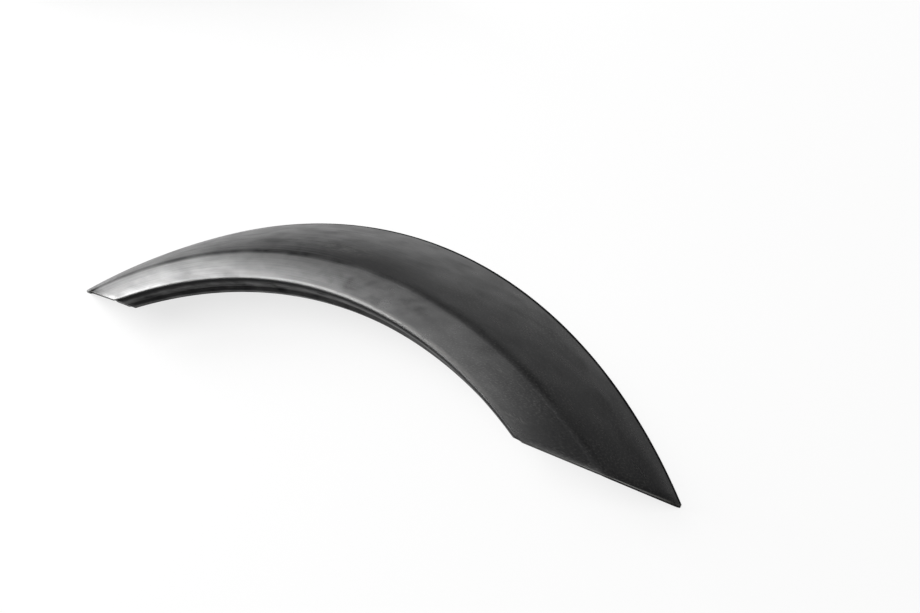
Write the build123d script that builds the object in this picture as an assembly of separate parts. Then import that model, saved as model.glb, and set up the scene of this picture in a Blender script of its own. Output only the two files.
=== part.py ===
from build123d import *
from math import asin, cos, hypot, sin, sqrt
import os

# Wheel arch trim: one thin moulded shell, shaped as a crescent that follows the top of a wheel arch.
# It is modelled lying on its back, as it comes to rest on a bench.
#   X runs along the car, Y points up on the car, Z points out from the body side.
#   The origin is on the seat rim, at the top of the arch, half way across the rim.
# All lengths are millimetres.

# Outer edge, which sits flat on the body side
OUTER_SPAN = 550.0      # tip to tip, along the line where both ends are cut
OUTER_RISE = 91.0       # top of the outer edge above that line

# Crease, where the sloping shoulder turns into the front band
CREASE_SPAN = 479.0
CREASE_RISE = 61.2
CREASE_OUT_TOP = 32.5   # stand-off from the body at the top
CREASE_OUT_END = 21.2   # and at the ends, where the crease dies away
CREASE_RADIUS_TOP = 9.0
CREASE_RADIUS_END = 22.0
CREASE_PROUD = 2.0      # least that it stands proud of the straight line from the outer edge to the lip

# Lip, the edge nearest the tyre
LIP_SPAN = 367.0
LIP_RISE = 40.1
LIP_OUT_TOP = 39.0
LIP_OUT_END = 36.2
LIP_RADIUS = 2.6        # the edge is broken by two flats that follow this round

# Return flange, which runs back from the lip and leans towards the wheel
FLANGE_DEPTH_TOP = 13.1
FLANGE_DEPTH_END = 9.2
FLANGE_LEAN_TOP = 2.65  # how far its free edge closes in on the wheel
FLANGE_LEAN_END = 0.4
FLANGE_STEP = 0.8       # part of that lean which a step takes up, to stiffen the free edge
FLANGE_STEP_AT = 0.62   # where the step begins, as a part of the flange depth
FLANGE_STEP_RUN = 0.17  # depth that the step takes up, as a part of the flange depth

# Sheet and trimming
WALL = 2.5              # thickness of the shell
SHOULDER_CROWN = 1.6    # how far the shoulder bows out between the outer edge and the crease
BAND_CROWN = 0.3        # the same for the front band
END_TILT = 3.0          # degrees that the end cuts lean down towards the lip

# Stations of the loft
STATION_COUNT = 9
OVERRUN = 1.05          # how far the loft runs past the tips before the ends are cut
SEAT_ALLOWANCE = 1.5    # shoulder left on below the seat before the rim is cut flat

RIM_WIDTH = WALL * hypot(OUTER_RISE - CREASE_RISE, CREASE_OUT_TOP) / CREASE_OUT_TOP
ORIGIN_Y = OUTER_RISE - RIM_WIDTH / 2


def arc_of(span, rise):
    """Radius of the arc with this span and rise, and the height of its centre above the end line."""
    radius = (span ** 2 / 4 + rise ** 2) / (2 * rise)
    return radius, rise - radius


HUB = arc_of(LIP_SPAN, LIP_RISE)[1]     # height of the wheel centre, which the lip runs round
TIP_ANGLE = asin(OUTER_SPAN / 2 / hypot(OUTER_SPAN / 2, HUB))


def reach(span, rise, angle):
    """Distance from the wheel centre to an arc, looking along the given angle from the top."""
    radius, centre = arc_of(span, rise)
    drop = centre - HUB
    return drop * cos(angle) + sqrt(radius ** 2 - (drop * sin(angle)) ** 2)


def ease(top, end, part):
    """Blend from a size at the top of the arch to its size at the ends."""
    return top + (end - top) * part ** 2


def unit(a, b):
    """Unit vector from one profile point to another."""
    d = b - a
    return d / d.length


def normal(a, b):
    """Unit normal on the outer side of the run from a to b."""
    d = unit(a, b)
    return Vector(d.Y, -d.X, 0)


def meet(a, b, c, d):
    """Point where the line through a and b crosses the line through c and d."""
    u, v = b - a, d - c
    k = ((c.X - a.X) * v.Y - (c.Y - a.Y) * v.X) / (u.X * v.Y - u.Y * v.X)
    return a + u * k


def inner_path(path, gap):
    """Path that lies one wall thickness behind the outer path, with its first point level with it."""
    runs = [(a - normal(a, b) * gap, b - normal(a, b) * gap) for a, b in zip(path, path[1:])]
    seat = meet(*runs[0], path[0], path[0] + Vector(1, 0, 0))
    corners = [meet(*r, *s) for r, s in zip(runs, runs[1:])]
    return [seat, *corners, runs[-1][1]]


def rounded(a, corner, b, radius):
    """Start, middle and end of the arc that rounds a corner between the runs to a and to b."""
    u, v = unit(corner, a), unit(corner, b)
    half = (u + v).length / 2               # cosine of half the angle between the runs
    lean = sqrt(1 - half ** 2)              # and its sine
    start = corner + u * (radius * half / lean)
    end = corner + v * (radius * half / lean)
    middle = corner + (u + v).normalized() * (radius / lean - radius)
    return start, middle, end


def run(a, b, crown):
    """One run of the profile, bowed out by its crown."""
    return ThreePointArc(a, (a + b) / 2 + normal(a, b) * crown, b)


def face_runs(outer, crease, lip_start, lip, bend):
    """Shoulder, crease bend and front band, from the seat to where the lip begins."""
    start, middle, end = rounded(outer, crease, lip, bend)
    return [
        run(outer, start, SHOULDER_CROWN),
        ThreePointArc(start, middle, end),
        run(end, lip_start, BAND_CROWN),
    ]


def crease_point(angle, part, seat_line, lip):
    """Crease of a section: at its stand-off, and always proud of the line from the outer edge to the lip."""
    along = reach(CREASE_SPAN, CREASE_RISE, angle)
    line = lip.Y * (seat_line.X - along) / (seat_line.X - lip.X)
    return Vector(along, max(ease(CREASE_OUT_TOP, CREASE_OUT_END, part), line + CREASE_PROUD))


def profile(angle):
    """Section of the shell on the half plane through the wheel axis at this angle from the top."""
    part = angle / TIP_ANGLE
    seat_line = Vector(reach(OUTER_SPAN, OUTER_RISE, angle), 0)
    lip = Vector(reach(LIP_SPAN, LIP_RISE, angle), ease(LIP_OUT_TOP, LIP_OUT_END, part))
    crease = crease_point(angle, part, seat_line, lip)
    outer = seat_line + unit(crease, seat_line) * SEAT_ALLOWANCE
    depth = ease(FLANGE_DEPTH_TOP, FLANGE_DEPTH_END, part)
    lean = ease(FLANGE_LEAN_TOP, FLANGE_LEAN_END, part)
    step = lip - Vector(lean * (1 - FLANGE_STEP), depth * FLANGE_STEP_AT)
    foot = step - Vector(lean * FLANGE_STEP, depth * FLANGE_STEP_RUN)
    edge = Vector(foot.X, lip.Y - depth)
    path = [outer, crease, lip, step, foot, edge]
    bend = ease(CREASE_RADIUS_TOP, CREASE_RADIUS_END, part)
    break_in, break_mid, break_out = rounded(crease, lip, step, LIP_RADIUS)
    front = face_runs(outer, crease, break_in, lip, bend)
    flange = Polyline(break_in, break_mid, break_out, step, foot, edge)
    seat, *back_path = inner_path(path, WALL)
    back = face_runs(seat, back_path[0], back_path[1], back_path[1], bend - WALL)
    flange_back = Polyline(*back_path[1:])
    rim = Line(seat, outer)
    trim = Line(edge, back_path[-1])
    return Plane(
        origin=(0, HUB - ORIGIN_Y, 0), x_dir=(sin(angle), cos(angle), 0), z_dir=(cos(angle), -sin(angle), 0)
    ) * make_face([*front, *flange.edges(), trim, *flange_back.edges(), *back, rim])


def blank():
    """The shell before trimming, lofted round the arch and past both tips."""
    last = TIP_ANGLE * OVERRUN
    angles = [last * (2 * k / (STATION_COUNT - 1) - 1) for k in range(STATION_COUNT)]
    return loft([profile(a) for a in angles])


def end_cutter():
    """Block under the line of the end cuts, leaning by their tilt."""
    size = OUTER_SPAN * OVERRUN * 2
    block = Box(size, OUTER_RISE * 2, size, align=(Align.CENTER, Align.MAX, Align.CENTER))
    return Pos(0, -ORIGIN_Y, 0) * Rot(END_TILT, 0, 0) * block


def seat_cutter():
    """Block behind the plane of the seat."""
    size = OUTER_SPAN * OVERRUN * 2
    return Box(size, size, OUTER_RISE, align=(Align.CENTER, Align.CENTER, Align.MAX))


arch_trim = blank() - end_cutter() - seat_cutter()
os.makedirs("parts", exist_ok=True)
export_step(arch_trim, "parts/arch_trim.step")
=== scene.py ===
import bpy
import numpy as np
from mathutils import Matrix, Vector


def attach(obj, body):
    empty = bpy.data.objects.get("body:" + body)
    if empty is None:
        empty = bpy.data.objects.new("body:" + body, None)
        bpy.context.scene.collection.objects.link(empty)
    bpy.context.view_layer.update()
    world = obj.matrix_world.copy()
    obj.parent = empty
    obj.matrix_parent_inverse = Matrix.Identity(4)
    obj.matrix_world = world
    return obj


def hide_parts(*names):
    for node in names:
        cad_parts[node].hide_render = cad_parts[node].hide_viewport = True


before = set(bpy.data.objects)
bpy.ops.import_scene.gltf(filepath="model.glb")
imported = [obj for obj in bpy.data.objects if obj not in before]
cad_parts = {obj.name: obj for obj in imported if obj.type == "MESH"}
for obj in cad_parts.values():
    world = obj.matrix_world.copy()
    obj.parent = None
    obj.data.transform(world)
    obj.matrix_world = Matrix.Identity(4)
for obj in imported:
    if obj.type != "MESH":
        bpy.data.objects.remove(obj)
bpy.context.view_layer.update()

MM = 0.001

# Sizes of the trim in millimetres, the same as those that drive the solid.
OUTER_SPAN, OUTER_RISE = 550.0, 91.0
CREASE_SPAN, CREASE_RISE = 479.0, 61.2
CREASE_OUT_TOP, CREASE_OUT_END = 32.5, 21.2
CREASE_RADIUS_TOP, CREASE_RADIUS_END = 9.0, 22.0
LIP_SPAN, LIP_RISE = 367.0, 40.1
LIP_OUT_TOP, LIP_OUT_END = 39.0, 36.2
LIP_RADIUS = 2.6
FLANGE_DEPTH_TOP, FLANGE_DEPTH_END = 13.1, 9.2
FLANGE_LEAN_TOP, FLANGE_LEAN_END = 2.65, 0.4
FLANGE_STEP, FLANGE_STEP_AT, FLANGE_STEP_RUN = 0.8, 0.62, 0.17
WALL = 2.5
SHOULDER_CROWN, BAND_CROWN = 1.6, 0.3
END_TILT = np.radians(3.0)
SEAT_ALLOWANCE = 1.5
RIM_WIDTH = WALL * np.hypot(OUTER_RISE - CREASE_RISE, CREASE_OUT_TOP) / CREASE_OUT_TOP
ORIGIN_Y = OUTER_RISE - RIM_WIDTH / 2

# Small rounds in millimetres, where the solid has plain corners: inside the lip, at the flange's step, and along
# the cut edges, which are scraped.
LIP_INSIDE_RADIUS = 0.4
STEP_INNER_RADIUS, STEP_OUTER_RADIUS = 0.7, 1.4
END_FRONT_RADIUS, END_BACK_RADIUS = 1.2, 0.5
# The ends are trimmed by hand, so each cut strays a little from the solid's: how much higher it lies at the lip
# and at the tip, and how much of the tip is taken off, in millimetres.
LEFT_CUT = (1.0, 2.2, 0.3)
RIGHT_CUT = (1.1, -2.4, 0.9)
TIP_ROUND = 0.0012          # how softly a tip is rounded, in radians

# Samples along each run and bend of the profile, in order from the seat to the flange's free edge.
SHOULDER_STEPS, CREASE_STEPS, BAND_STEPS = 40, 26, 34
LIP_STEPS, FLANGE_STEPS, STEP_STEPS, FOOT_STEPS = 16, 10, 7, 5
ARCH_STEPS = 200            # even steps from end to end
END_STEPS = (0.0, 0.06, 0.2, 0.4, 0.65, 1.0)    # finer ones at each end, as parts of the cut edge's round
END_STEPS_FOR = 3           # even steps that the finer ones take the place of
HALF_RUN = 258.0            # length of the skin from the top of the arch to an end, for patterns and end rounds
CUT_ROUNDS, CUT_GUESS = 40, 0.6                 # repeats for an end cut, and the first angle tried
TANGENT_ROUNDS = 5                              # repeats for the line in which the shoulder arrives
SHARP_ANGLE = np.radians(38)

# Camera, as fitted to the photograph in units that make the trim FIT_SPAN long, with the origin on the end line.
FIT_SPAN = 780.0
CAMERA_AT = (1777.2, -128.5, 1417.0)
CAMERA_LOOK = (-0.7616, 0.0971, -0.6407)
CAMERA_UP = (-0.1848, 0.9151, 0.3584)
FOCAL_PIXELS, PICTURE_PIXELS, SENSOR_MM = 2874.2, 920.0, 36.0
CLIP_NEAR, CLIP_FAR = 0.05, 50

WORLD_LEVEL = 0.10
FLOOR_GLOW = 0.75
FLOOR_HALF = 4
# Lamps: bearing and height in degrees, distance, width and height in metres, radiance, roll in degrees.
LAMPS = (
    ("overhead", (20.0, 84.0), 1.7, (1.5, 1.2), 3.6, 0.0),
    ("left_panel", (174.0, 20.0), 1.8, (0.78, 1.0), 12.2, 0.0),
    ("back_panel", (147.0, 37.0), 1.6, (1.0, 0.7), 1.8, -35.0),
    ("far_wall", (112.0, 11.0), 1.6, (1.2, 0.66), 0.45, 0.0),
)
LAMP_AIM = (0.0, -0.03, 0.02)
# Black flag: the two ends of its foot on the floor and its height, all in metres, outside the picture.
FLAG_FROM, FLAG_TO, FLAG_HEIGHT = (-0.56, 0.108), (-0.13, 0.155), 0.08
FLAG_ROUGHNESS = 0.9

# The second colour is the pale of worn plastic and dust, and also the colour of the painted highlights along the
# lip and the cut edges.
BLACK_ABS, WORN_AND_HIGHLIGHT_ABS, WHITE_PAPER, BLACK_CARD = "#141415", "#8d8c88", "#fafafa", "#0d0d0d"
ABS_IOR = 1.54
BUMP_MM, BUMP_STRENGTH = 0.08, 0.8

# Cloudy patterns of the plastic's skin: size of a patch along and across the arch in millimetres, detail,
# turn in radians, warp. The specks are drawn twice as coarse as real dust, so that they show.
SKIN_PATTERNS = (
    ("streak", (90.0, 0.55), 3.0, 0.0, 0.0),
    ("wipe", (22.0, 8.0), 3.0, 0.15, 0.2),
    ("cloud", (80.0, 40.0), 2.0, 0.0, 0.3),
    ("mottle", (13.0, 7.0), 1.0, 0.9, 0.0),
    ("scratch", (6.0, 0.6), 1.0, 0.6, 0.0),
    ("speck", (1.0, 0.9), 2.0, 0.0, 0.0),
    ("grain", (0.5, 0.35), 2.0, 0.0, 0.0),
    ("wave", (45.0, 18.0), 1.0, 0.0, 0.0),
)
# Places on the skin: middle along and across the arch, half length and half width, in millimetres. Across is
# measured over the front from the seat. The long ones run from end to end.
SKIN_PLACES = (
    ("crease_low", (0.0, 45.2), (4000.0, 3.0)),
    ("crease_high", (0.0, 43.0), (4000.0, 4.4)),
    # Painted shade: the patch beside the crease, the seat edge, the flange and its free edge get less specular
    # level.
    ("crease_shade", (-60.0, 36.0), (118.0, 22.0)),
    ("outer_rim", (0.0, 0.0), (4000.0, 2.4)),
    ("flange", (0.0, 72.5), (4000.0, 8.5)),
    ("free_edge", (0.0, 78.4), (4000.0, 2.6)),
    ("lip_edge", (95.0, 63.0), (185.0, 1.9)),
    ("lip_line", (30.0, 63.4), (150.0, 1.0)),
    ("smudge", (-17.0, 32.5), (44.0, 7.0)),
    ("middle", (45.0, 55.0), (85.0, 12.0)),
    ("lip_corner", (227.0, 60.0), (10.0, 4.5)),
    ("mid_band", (170.0, 50.5), (8.0, 5.0)),
    ("outer_edge", (97.0, 5.0), (5.0, 4.0)),
    # Painted shade: less specular level at the left end and over the right shoulder.
    ("left_end", (-260.0, 47.0), (14.0, 14.0)),
    ("right_shoulder", (160.0, 8.0), (300.0, 34.0)),
    ("left_cut", (-257.0, 32.0), (0.8, 60.0)),
    ("right_cut", (257.3, 32.0), (0.6, 60.0)),
    ("left_part", (-170.0, 50.0), (330.0, 400.0)),
    ("right_part", (230.0, 30.0), (330.0, 400.0)),
)
# Marks: each is the product of its rows, and each row stretches a value from a range to 0 to 1.
SKIN_MARKS = (
    ("draw", (("streak", 0.3, 0.7), ("left_part", 0.0, 0.6))),
    ("dust", (("speck", 0.52, 0.70), ("cloud", 0.25, 0.60), ("right_part", 0.0, 0.8))),
    # On the flange: more roughness, and the specular level cut as painted shade.
    ("flange_skin", (("flange", 0.0, 0.3),)),
    # Along the crease: more roughness, and the specular level cut as a painted shade line.
    ("left_crease", (("crease_low", 0.0, 1.0), ("left_part", 0.0, 0.6))),
    ("right_crease", (("crease_high", 0.0, 1.0), ("right_part", 0.0, 0.6))),
    # Along the lip edge: pale wear, and a painted highlight.
    ("lip_wear_and_highlight", (("wipe", 0.25, 0.55), ("lip_edge", 0.0, 0.9))),
    # Painted highlight: a thin pale, more specular line along the lip.
    ("lip_painted_highlight", (("wipe", 0.20, 0.45), ("lip_line", 0.0, 0.7))),
    ("wipe_marks", (("scratch", 0.50, 0.64), ("smudge", 0.0, 0.7))),
    ("smears", (("mottle", 0.40, 0.68), ("middle", 0.0, 0.5))),
    ("corner_scuff", (("scratch", 0.48, 0.62), ("lip_corner", 0.0, 0.8))),
    ("band_scuff", (("scratch", 0.50, 0.66), ("mid_band", 0.0, 0.8))),
    ("edge_scuff", (("speck", 0.42, 0.60), ("outer_edge", 0.0, 0.8))),
    # Pale lines along the cut edges: scraped edges, and a painted highlight.
    ("left_scrape_and_highlight", (("wipe", 0.30, 0.50), ("left_cut", 0.0, 1.0))),
    ("right_scrape_and_highlight", (("wipe", 0.30, 0.50), ("right_cut", 0.0, 1.0))),
)
# What the shader gets: each is the sum of its rows, kept between 0 and 1 as it grows. A row is a value and what it
# adds where it is 1, or a value, a range of it, and what it adds at the two ends of that range.
SKIN_SUMS = (
    ("roughness", (
        ("cloud", 0.3, 0.7, 0.27, 0.31), ("draw", 0.10), ("wipe", 0.3, 0.7, -0.03, 0.06), ("dust", 0.10),
        ("left_crease", 0.35), ("right_crease", 0.20), ("left_end", 0.30), ("flange_skin", 0.10))),
    # Specular level: streaks, wipes and smears are the skin's own; the cuts along and beside the crease, on the
    # flange and its free edge, at the outer rim, the left end and the right shoulder are painted shade, and the
    # rise on the lip line is a painted highlight.
    ("sheen", (
        ("draw", 0.0, 1.0, 0.54, 0.42), ("wipe", 0.3, 0.7, 0.07, -0.11), ("left_crease", -0.22),
        ("right_crease", -0.30), ("crease_shade", -0.30), ("outer_rim", -0.90), ("flange_skin", -0.34),
        ("free_edge", -0.08), ("lip_painted_highlight", 0.35), ("smears", -0.20), ("left_end", -0.28),
        ("right_shoulder", -0.18))),
    # Pale colour: dust, wipe marks and scuffs are the skin's own; the pale lines along the lip edge and the cuts
    # are wear and scraping with a painted highlight, and the one on the lip line is a painted highlight.
    ("pale", (
        ("dust", 0.17), ("lip_wear_and_highlight", 0.34), ("lip_painted_highlight", 0.22), ("wipe_marks", 0.16), ("corner_scuff", 0.16),
        ("band_scuff", 0.08), ("edge_scuff", 0.12), ("left_scrape_and_highlight", 0.5), ("right_scrape_and_highlight", 0.5))),
    ("height", (("wave", 1.0), ("grain", 0.06), ("draw", 0.05))),
)


def arc_of(span, rise):
    """Radius of the arc with this span and rise, and its centre's height above the end line."""
    radius = (span ** 2 / 4 + rise ** 2) / (2 * rise)
    return radius, rise - radius


HUB = arc_of(LIP_SPAN, LIP_RISE)[1]     # height of the wheel centre, which the lip runs round
TIP_ANGLE = np.arctan2(OUTER_SPAN / 2, -HUB)


def reach(span, rise, angle):
    """Distance from the wheel centre to an arc along each angle: where a ray meets the arc's circle."""
    radius, centre = arc_of(span, rise)
    drop = centre - HUB
    return drop * np.cos(angle) + np.sqrt(radius ** 2 - (drop * np.sin(angle)) ** 2)


def ease(top, end, part):
    """Size at each part of the way from the top of the arch (0) to a tip (1): it changes as the square."""
    return top + (end - top) * part ** 2


def unit(a, b):
    """Unit vectors from points a to points b."""
    d = b - a
    return d / np.linalg.norm(d, axis=-1, keepdims=True)


def normal(a, b):
    """Unit normals on the outer side of the runs from a to b: the run turned a quarter to the right."""
    d = unit(a, b)
    return np.stack([d[..., 1], -d[..., 0]], -1)


def cross(u, v):
    """Cross product of vectors in the plane of the profile."""
    return u[..., 0] * v[..., 1] - u[..., 1] * v[..., 0]


def meet(a, b, c, d):
    """Points where the lines through a and b cross the lines through c and d."""
    k = cross(c - a, d - c) / cross(b - a, d - c)
    return a + (b - a) * k[..., None]


def corners(angle):
    """Corner points of the front profile at each angle, as (distance from the wheel centre, stand-off)."""
    part = angle / TIP_ANGLE
    crease_out = ease(CREASE_OUT_TOP, CREASE_OUT_END, part)
    crease = np.stack([reach(CREASE_SPAN, CREASE_RISE, angle), crease_out], -1)
    seat = np.stack([reach(OUTER_SPAN, OUTER_RISE, angle), 0 * angle], -1)
    outer = seat + unit(crease, seat) * SEAT_ALLOWANCE
    lip = np.stack([reach(LIP_SPAN, LIP_RISE, angle), ease(LIP_OUT_TOP, LIP_OUT_END, part)], -1)
    depth = ease(FLANGE_DEPTH_TOP, FLANGE_DEPTH_END, part)
    lean = ease(FLANGE_LEAN_TOP, FLANGE_LEAN_END, part)
    step = lip - np.stack([lean * (1 - FLANGE_STEP), depth * FLANGE_STEP_AT], -1)
    foot = step - np.stack([lean * FLANGE_STEP, depth * FLANGE_STEP_RUN], -1)
    edge = np.stack([foot[..., 0], lip[..., 1] - depth], -1)
    return [outer, crease, lip, step, foot, edge]


def behind(path):
    """The same corners one wall thickness behind: each run is shifted along its normal, then re-crossed."""
    runs = [(a - normal(a, b) * WALL, b - normal(a, b) * WALL) for a, b in zip(path, path[1:])]
    level = np.broadcast_to([1.0, 0.0], path[0].shape)
    seat = meet(*runs[0], path[0], path[0] + level)
    return [seat] + [meet(*r, *s) for r, s in zip(runs, runs[1:])] + [runs[-1][1]]


def bend(a, corner, b, radius, count):
    """Arc that rounds a corner, as count points: the directions from its centre turn evenly."""
    u, v = unit(corner, a), unit(corner, b)
    half = np.linalg.norm(u + v, axis=-1, keepdims=True) / 2
    lean = np.sqrt(1 - half ** 2)
    centre = corner + unit(0 * u, u + v) * radius / lean
    start = corner + u * radius * half / lean - centre
    end = corner + v * radius * half / lean - centre
    turn = (np.pi - 2 * np.arcsin(lean))[..., None, :]
    w = np.linspace(0, 1, count)[:, None]
    arc = np.sin((1 - w) * turn) * start[..., None, :] + np.sin(w * turn) * end[..., None, :]
    return centre[..., None, :] + arc / np.sin(turn)


def bow(a, b, crown, w):
    """Points at parts w of the way from a to b, bowed out by the crown as a parabola."""
    return a * (1 - w) + b * w + 4 * crown * w * (1 - w) * normal(a, b)


def run(a, b, crown, count, first=0.0):
    """Points of a bowed run from a to b, ends left out; first is the part of the way at which it starts."""
    first = np.broadcast_to(first, a.shape[:-1])[..., None]
    w = first + (1 - first) * np.linspace(0, 1, count + 2)[1:-1]
    return bow(a[..., None, :], b[..., None, :], crown, w[..., None])


def at_seat(a, b, crown):
    """Part of the bowed run from a to b at which it crosses the seat plane: root of its quadratic height."""
    up = 4 * crown * normal(a, b)[..., 1]
    p, q, r = -up, b[..., 1] - a[..., 1] + up, a[..., 1]
    return 2 * -r / (q + np.sqrt(q ** 2 - 4 * p * r))


def shoulder_tangent(outer, crease, lip, radius):
    """Point behind the crease on the line in which the bowed shoulder arrives, by repeated substitution: the
    bow leaves its chord by four times the crown over the chord, and the crease bend starts in that line."""
    start = crease
    for _ in range(TANGENT_ROUNDS):
        chord = np.linalg.norm(start - outer, axis=-1, keepdims=True)
        slope = normal(outer, start) * 4 * SHOULDER_CROWN / chord
        back = crease - unit(0 * outer, unit(outer, start) - slope) * chord
        start = bend(back, crease, lip, radius, 2)[..., 0, :]
    return back


def skin(path, crease_radius, lip_radius, step_radius, foot_radius):
    """Whole profile of one skin: bowed shoulder, crease, bowed band, lip, flange, step and free edge."""
    outer, crease, lip, step, foot, edge = path
    arrive = shoulder_tangent(outer, crease, lip, crease_radius[..., None])
    crease_bend = bend(arrive, crease, lip, crease_radius[..., None], CREASE_STEPS)
    lip_bend = bend(crease, lip, step, lip_radius, LIP_STEPS)
    step_bend = bend(lip, step, foot, step_radius, STEP_STEPS)
    foot_bend = bend(step, foot, edge, foot_radius, STEP_STEPS)
    top = crease_bend[..., 0, :]
    first = at_seat(outer, top, SHOULDER_CROWN)
    seat = bow(outer, top, SHOULDER_CROWN, first[..., None])
    shoulder = run(outer, top, SHOULDER_CROWN, SHOULDER_STEPS, first)
    band = run(crease_bend[..., -1, :], lip_bend[..., 0, :], BAND_CROWN, BAND_STEPS)
    flange = run(lip_bend[..., -1, :], step_bend[..., 0, :], 0, FLANGE_STEPS)
    free = run(foot_bend[..., -1, :], edge, 0, FOOT_STEPS)
    return np.concatenate([seat[..., None, :], shoulder, crease_bend, band, lip_bend, flange, step_bend,
                           foot_bend, free, edge[..., None, :]], -2)


def profile(angle):
    """Closed profile at each angle: the front skin from seat to free edge, then the back skin returning."""
    path = corners(angle)
    radius = ease(CREASE_RADIUS_TOP, CREASE_RADIUS_END, angle / TIP_ANGLE)
    front = skin(path, radius, LIP_RADIUS, STEP_INNER_RADIUS, STEP_OUTER_RADIUS)
    back = skin(behind(path), radius - WALL, LIP_INSIDE_RADIUS, STEP_OUTER_RADIUS, STEP_INNER_RADIUS)
    return np.concatenate([front, back[..., ::-1, :]], -2)


def end_angles(at_lip, at_tip, tip_off):
    """Angle at which each profile point meets an end cut, found by repeated substitution, and then, where that
    comes first, the angle at which it meets the upright cut that blunts the tip. A soft minimum of the two
    rounds the corner between them."""
    pick = np.arange(profile(np.zeros(1)).shape[1])
    angle = np.full(len(pick), CUT_GUESS)
    for _ in range(CUT_ROUNDS):
        point = profile(angle)[pick, pick]
        out = point[:, 0] * np.sin(angle)
        part = (out - LIP_SPAN / 2) / (OUTER_SPAN / 2 - LIP_SPAN / 2)
        height = at_lip + (at_tip - at_lip) * part - point[:, 1] * np.tan(END_TILT)
        angle = np.arccos(np.clip((height - HUB) / point[:, 0], -1, 1))
    blunt = np.arcsin(np.clip((out.max() - tip_off) / point[:, 0], -1, 1))
    return angle - TIP_ROUND * np.log1p(np.exp((angle - blunt) / TIP_ROUND))


def arch_points():
    """Points of the shell: each profile point swings round the wheel centre from one end cut to the other.
    The steps crowd towards the ends, where the trimmed edges are rounded over."""
    left, right = end_angles(*LEFT_CUT), end_angles(*RIGHT_CUT)
    even = np.linspace(-1, 1, ARCH_STEPS)[END_STEPS_FOR:-END_STEPS_FOR]
    margin = END_FRONT_RADIUS * np.array(END_STEPS) / HALF_RUN
    along = np.concatenate([-1 + margin, even, 1 - margin[::-1]])
    angle = along[:, None] * np.where(along[:, None] < 0, left, right)
    pick = np.arange(len(left))
    section = np.stack([profile(row)[pick, pick] for row in angle])
    out, lift = section[..., 0], section[..., 1]
    place = np.stack([out * np.sin(angle), out * np.cos(angle) + HUB - ORIGIN_Y, lift], -1)
    return place, along


def soften_ends(place, along):
    """Rounds the cut edges: near a cut, a skin point sinks along its normal by the gap of a quarter circle, with
    the wide radius on the front skin, which is the first half of each profile, and the fine one on the back."""
    tangent = np.gradient(place, axis=0)
    across = np.roll(place, -1, 1) - np.roll(place, 1, 1)
    n = np.cross(tangent, across)
    n /= np.maximum(np.linalg.norm(n, axis=-1, keepdims=True), 1e-9)
    gap = (1 - np.abs(along))[:, None] * HALF_RUN
    radius = np.repeat([END_FRONT_RADIUS, END_BACK_RADIUS], place.shape[1] // 2)[None, :]
    short = np.clip(radius - gap, 0, radius)
    return n * (radius - np.sqrt(radius ** 2 - short ** 2))[..., None]


def shell_faces(rows, cols):
    """Four-cornered faces of the shell: the swept profile closed on itself, and a strip across each cut end."""
    index = np.arange(rows * cols).reshape(rows, cols)
    a, b = index[:-1], index[1:]
    sides = np.stack([a, b, np.roll(b, -1, 1), np.roll(a, -1, 1)], -1).reshape(-1, 4)
    half = cols // 2
    caps = []
    for row, turn in ((index[0], 1), (index[-1], -1)):
        front, back = row[:half], row[::-1][:half]
        caps.append(np.stack([front[:-1], front[1:], back[1:], back[:-1]], -1)[:, ::turn])
    return np.concatenate([sides, *caps])


def facing(points, faces):
    """1 where the faces look outward and -1 where they look inward: the sign of the volume that they enclose,
    as the sum of the triple products of each face's two halves."""
    a, b, c, d = (points[faces[:, k]] - points.mean(0) for k in range(4))
    return np.sign((np.cross(a, b) * c + np.cross(a, c) * d).sum())


def add_mesh(name, points, faces, uv):
    """Mesh object at the origin from arrays of points and face corners' uv (millimetres) and of faces."""
    mesh = bpy.data.meshes.new(name)
    mesh.vertices.add(len(points))
    mesh.vertices.foreach_set("co", (points * MM).astype(np.float32).ravel())
    mesh.loops.add(faces.size)
    mesh.loops.foreach_set("vertex_index", faces.astype(np.int32).ravel())
    mesh.polygons.add(len(faces))
    mesh.polygons.foreach_set("loop_start", np.arange(0, faces.size, 4, dtype=np.int32))
    mesh.update(calc_edges=True)
    layer = mesh.uv_layers.new(name="along_across")
    layer.data.foreach_set("uv", (uv * MM).astype(np.float32).ravel())
    mesh.validate()
    piece = bpy.data.objects.new(name, mesh)
    bpy.context.scene.collection.objects.link(piece)
    return piece


def arch_shell():
    """The trim as one closed shell. Its uv is the length along the arch and the length over the profile."""
    place, along = arch_points()
    rows, cols = place.shape[:2]
    faces = shell_faces(rows, cols)
    points = place.reshape(-1, 3)
    outward = facing(points, faces)
    faces = faces if outward > 0 else faces[:, ::-1]
    points = points - soften_ends(place, along).reshape(-1, 3) * outward
    points[:, 2] = np.maximum(points[:, 2], 0)
    steps = np.linalg.norm(np.diff(place[rows // 2], axis=0), axis=1)
    run_along = np.repeat((along * HALF_RUN)[:, None], cols, 1)
    run_across = np.repeat(np.concatenate([[0], np.cumsum(steps)])[None], rows, 0)
    uv = np.stack([run_along, run_across], -1).reshape(-1, 2)[faces]
    piece = add_mesh("arch_shell", points, faces, uv)
    piece.data.shade_smooth()
    piece.data.set_sharp_from_angle(angle=SHARP_ANGLE)
    return piece


def linear(code):
    """Linear colour from an sRGB hex code."""
    c = np.array([int(code[k:k + 2], 16) for k in (1, 3, 5)]) / 255
    return (*np.where(c <= 0.04045, c / 12.92, ((c + 0.055) / 1.055) ** 2.4), 1.0)


def node(tree, kind, links=(), inputs=(), **settings):
    """Adds a node with its settings; links are (input, output socket) pairs, inputs are (input, value) pairs."""
    made = tree.nodes.new(kind)
    for key, value in settings.items():
        setattr(made, key, value)
    for key, value in inputs:
        made.inputs[key].default_value = value
    for key, socket in links:
        tree.links.new(made.inputs[key], socket)
    return made


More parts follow.
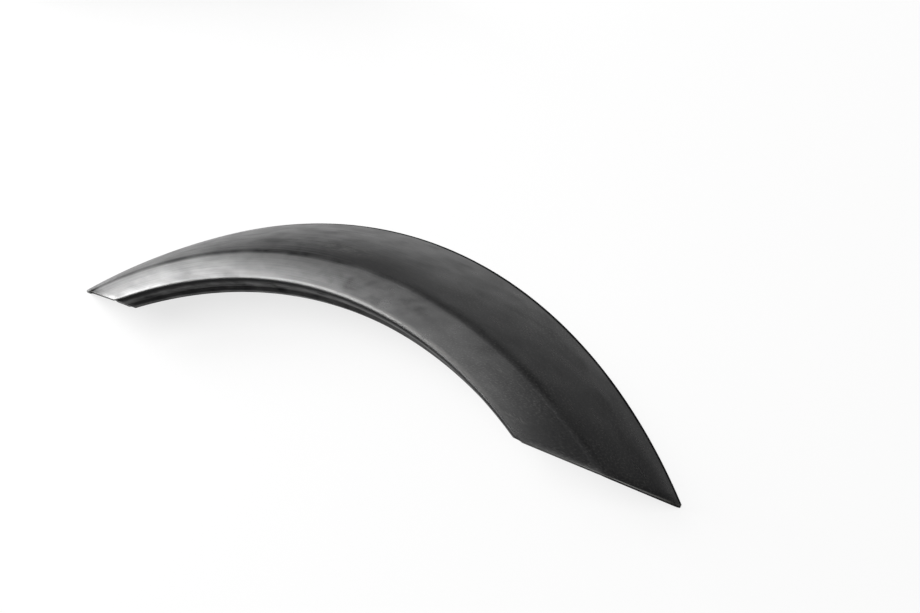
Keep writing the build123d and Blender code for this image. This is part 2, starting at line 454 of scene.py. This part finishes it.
def skin_values(tree):
    """Sockets of the skin's patterns, places, marks and sums, by name, from the tables above."""
    uv = node(tree, "ShaderNodeUVMap", uv_map="along_across")
    mm = node(tree, "ShaderNodeVectorMath", [(0, uv.outputs[0])], [("Scale", 1 / MM)],
              operation="SCALE").outputs[0]
    value = {}
    for name, size, detail, turn, warp in SKIN_PATTERNS:
        flat = node(tree, "ShaderNodeMapping", [(0, mm)],
                    [("Rotation", (0, 0, turn)), ("Scale", (1 / size[0], 1 / size[1], 1))], vector_type="POINT")
        value[name] = node(tree, "ShaderNodeTexNoise", [("Vector", flat.outputs[0])],
                           [("Scale", 1.0), ("Detail", detail), ("Distortion", warp)]).outputs[0]
    for name, middle, half in SKIN_PLACES:
        off = node(tree, "ShaderNodeVectorMath", [(0, mm)], [(1, (*middle, 0))], operation="SUBTRACT")
        part = node(tree, "ShaderNodeVectorMath", [(0, off.outputs[0])], [(1, (*half, 1))], operation="DIVIDE")
        far = node(tree, "ShaderNodeVectorMath", [(0, part.outputs[0])], operation="LENGTH")
        value[name] = node(tree, "ShaderNodeMapRange", [(0, far.outputs["Value"])],
                           [(1, 0.0), (2, 1.0), (3, 1.0), (4, 0.0)], interpolation_type="SMOOTHSTEP").outputs[0]
    for name, rows in SKIN_MARKS:
        ramps = [node(tree, "ShaderNodeMapRange", [(0, value[source])], [(1, low), (2, high)]).outputs[0]
                 for source, low, high in rows]
        value[name] = ramps[0]
        for ramp in ramps[1:]:
            value[name] = node(tree, "ShaderNodeMath", [(0, value[name]), (1, ramp)],
                               operation="MULTIPLY").outputs[0]
    for name, rows in SKIN_SUMS:
        ramps = []
        for source, *ends in rows:
            ends = ends if len(ends) == 4 else (0.0, 1.0, 0.0, *ends)
            ramps.append(node(tree, "ShaderNodeMapRange", [(0, value[source])], enumerate(ends, 1)).outputs[0])
        value[name] = ramps[0]
        for ramp in ramps[1:]:
            value[name] = node(tree, "ShaderNodeMath", [(0, value[name]), (1, ramp)],
                               operation="ADD", use_clamp=True).outputs[0]
    return value


def satin_abs():
    """Black ABS sheet, vacuum formed and wiped down: a satin skin with fine streaks along the draw, smears and
    wipe marks, a worn lip, scraped cuts, small scuffs and faint pale dust. Less specular level along and beside
    the crease, on the flange and its free edge, at the outer rim, the left end and over the right shoulder is
    painted shade; a pale, more specular line along the lip is a painted highlight, and the pale lines along the
    lip edge and the cuts are wear and scraping with a painted highlight."""
    material = bpy.data.materials.new("black_abs_vacuum_formed")
    material.use_nodes = True
    tree = material.node_tree
    value = skin_values(tree)
    colour = node(tree, "ShaderNodeMix", [(0, value["pale"])], [(6, linear(BLACK_ABS)), (7, linear(WORN_AND_HIGHLIGHT_ABS))],
                  data_type="RGBA")
    bump = node(tree, "ShaderNodeBump", [("Height", value["height"])],
                [("Distance", BUMP_MM * MM), ("Strength", BUMP_STRENGTH)])
    shader = tree.nodes["Principled BSDF"]
    shader.inputs["IOR"].default_value = ABS_IOR
    tree.links.new(shader.inputs["Base Color"], colour.outputs[2])
    tree.links.new(shader.inputs["Roughness"], value["roughness"])
    tree.links.new(shader.inputs["Specular IOR Level"], value["sheen"])
    tree.links.new(shader.inputs["Normal"], bump.outputs[0])
    return material


def soft_light(name, toward, distance, size, radiance, roll):
    """Rectangular soft light that stands off from the aim point along a bearing and a height, in degrees.
    Its power is the radiance that a mirror would see times the area times pi."""
    bearing, up = np.radians(toward)
    away = Vector((np.cos(up) * np.cos(bearing), np.cos(up) * np.sin(bearing), np.sin(up)))
    data = bpy.data.lights.new(name, "AREA")
    data.shape = "RECTANGLE"
    data.size, data.size_y = size
    data.energy = radiance * np.pi * size[0] * size[1]
    lamp = bpy.data.objects.new(name, data)
    turn = away.to_track_quat("Z", "Y").to_matrix().to_4x4() @ Matrix.Rotation(np.radians(roll), 4, "Z")
    lamp.matrix_world = Matrix.Translation(Vector(LAMP_AIM) + away * distance) @ turn
    lamp.visible_camera = False
    bpy.context.scene.collection.objects.link(lamp)


def white_floor():
    """Matt white paper: the lamps light it and it takes the shadow, and a share of plain white, for the eye and
    in reflections alike, keeps the shadow faint, as on the bright paper of the photograph."""
    material = bpy.data.materials.new("white_paper")
    material.use_nodes = True
    tree = material.node_tree
    tree.nodes.remove(tree.nodes["Principled BSDF"])
    path = node(tree, "ShaderNodeLightPath")
    seen = node(tree, "ShaderNodeMath", [(0, path.outputs["Is Camera Ray"]), (1, path.outputs["Is Glossy Ray"])],
                operation="ADD")
    seen = node(tree, "ShaderNodeMath", [(0, seen.outputs[0]), (1, path.outputs["Is Transmission Ray"])],
                operation="ADD", use_clamp=True)
    share = node(tree, "ShaderNodeMath", [(0, seen.outputs[0])], [(1, FLOOR_GLOW)], operation="MULTIPLY")
    paper = node(tree, "ShaderNodeBsdfDiffuse", (), [("Color", linear(WHITE_PAPER))])
    glow = node(tree, "ShaderNodeEmission", (), [("Color", (1, 1, 1, 1)), ("Strength", 1.0)])
    mixed = node(tree, "ShaderNodeMixShader",
                 [(0, share.outputs[0]), (1, paper.outputs[0]), (2, glow.outputs[0])])
    tree.links.new(tree.nodes["Material Output"].inputs["Surface"], mixed.outputs[0])
    return material


def flat_piece(name, points, material):
    """Flat four-cornered stage piece from its corner points in metres."""
    mesh = bpy.data.meshes.new(name)
    mesh.from_pydata(points, [], [(0, 1, 2, 3)])
    mesh.materials.append(material)
    piece = bpy.data.objects.new(name, mesh)
    bpy.context.scene.collection.objects.link(piece)
    return piece


def black_flag():
    """Black card that stands on the floor outside the picture and faces the trim, so the bend of the crease
    mirrors something dark between the white floor and the light panel."""
    card = bpy.data.materials.new("black_card")
    card.use_nodes = True
    shader = card.node_tree.nodes["Principled BSDF"]
    shader.inputs["Base Color"].default_value = linear(BLACK_CARD)
    shader.inputs["Roughness"].default_value = FLAG_ROUGHNESS
    foot = np.array([(*FLAG_FROM, 0.0), (*FLAG_TO, 0.0)])
    top = foot[::-1] + (0.0, 0.0, FLAG_HEIGHT)
    flag = flat_piece("black_flag", np.concatenate([foot, top]).tolist(), card)
    flag.visible_camera = False


def studio():
    """White paper under soft light, with dim surroundings."""
    world = bpy.data.worlds.new("studio")
    bpy.context.scene.world = world
    world.use_nodes = True
    background = world.node_tree.nodes["Background"]
    background.inputs["Color"].default_value = (1, 1, 1, 1)
    background.inputs["Strength"].default_value = WORLD_LEVEL
    signs = ((-1, -1, 0), (1, -1, 0), (1, 1, 0), (-1, 1, 0))
    flat_piece("floor", (np.array(signs) * FLOOR_HALF).tolist(), white_floor())
    black_flag()
    for lamp in LAMPS:
        soft_light(*lamp)


def camera():
    """Camera of the photograph: looks down on the lying trim from beyond its right end, turned on its side."""
    look = Vector(CAMERA_LOOK).normalized()
    up = Vector(CAMERA_UP)
    up = (up - look * up.dot(look)).normalized()
    right = look.cross(up)
    place = Vector(CAMERA_AT) * OUTER_SPAN / FIT_SPAN - Vector((0, ORIGIN_Y, 0))
    data = bpy.data.cameras.new("camera")
    data.sensor_width = SENSOR_MM
    data.lens = FOCAL_PIXELS * SENSOR_MM / PICTURE_PIXELS
    data.clip_start, data.clip_end = CLIP_NEAR, CLIP_FAR
    cam = bpy.data.objects.new("camera", data)
    axes = Matrix((right, up, -look)).transposed()
    cam.matrix_world = Matrix.Translation(place * MM) @ axes.to_4x4()
    bpy.context.scene.collection.objects.link(cam)
    bpy.context.scene.camera = cam


shell = arch_shell()
shell.data.materials.append(satin_abs())
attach(shell, "root")
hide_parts("arch_trim")
studio()
camera()
bpy.context.scene.view_settings.view_transform = "Standard"
